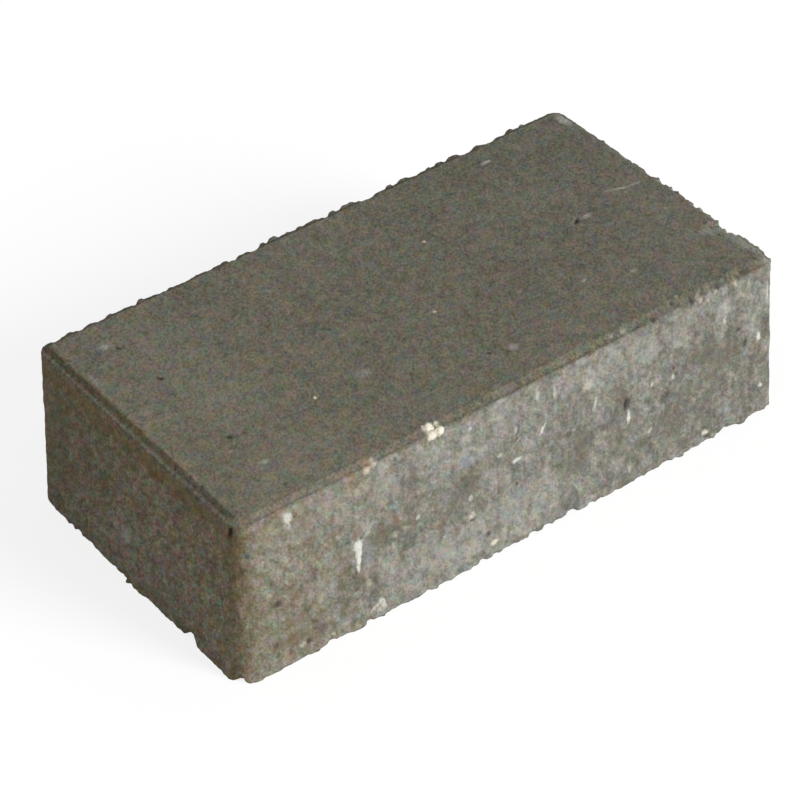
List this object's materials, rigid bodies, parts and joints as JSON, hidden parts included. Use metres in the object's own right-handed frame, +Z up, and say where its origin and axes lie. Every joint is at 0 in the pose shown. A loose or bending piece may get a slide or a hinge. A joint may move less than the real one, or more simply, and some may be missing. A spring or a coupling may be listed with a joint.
{
  "type": "concrete paving stone",
  "caption": "Rectangular pressed concrete paving stone: a chamfered wearing face inside a narrow ledge, round upright corners, sides that spread slightly to a flat bedding face.",
  "frame": {"origin": "centre of the flat underside, which is the face the stone is bedded on", "axes": "+X along the length, +Y along the width, +Z up through the wearing face"},
  "size_m": [0.2024, 0.1044, 0.06],
  "materials": {
    "concrete": "matte"
  },
  "bodies": {
    "root": {"paving_stone": "concrete"}
  },
  "joints": []
}
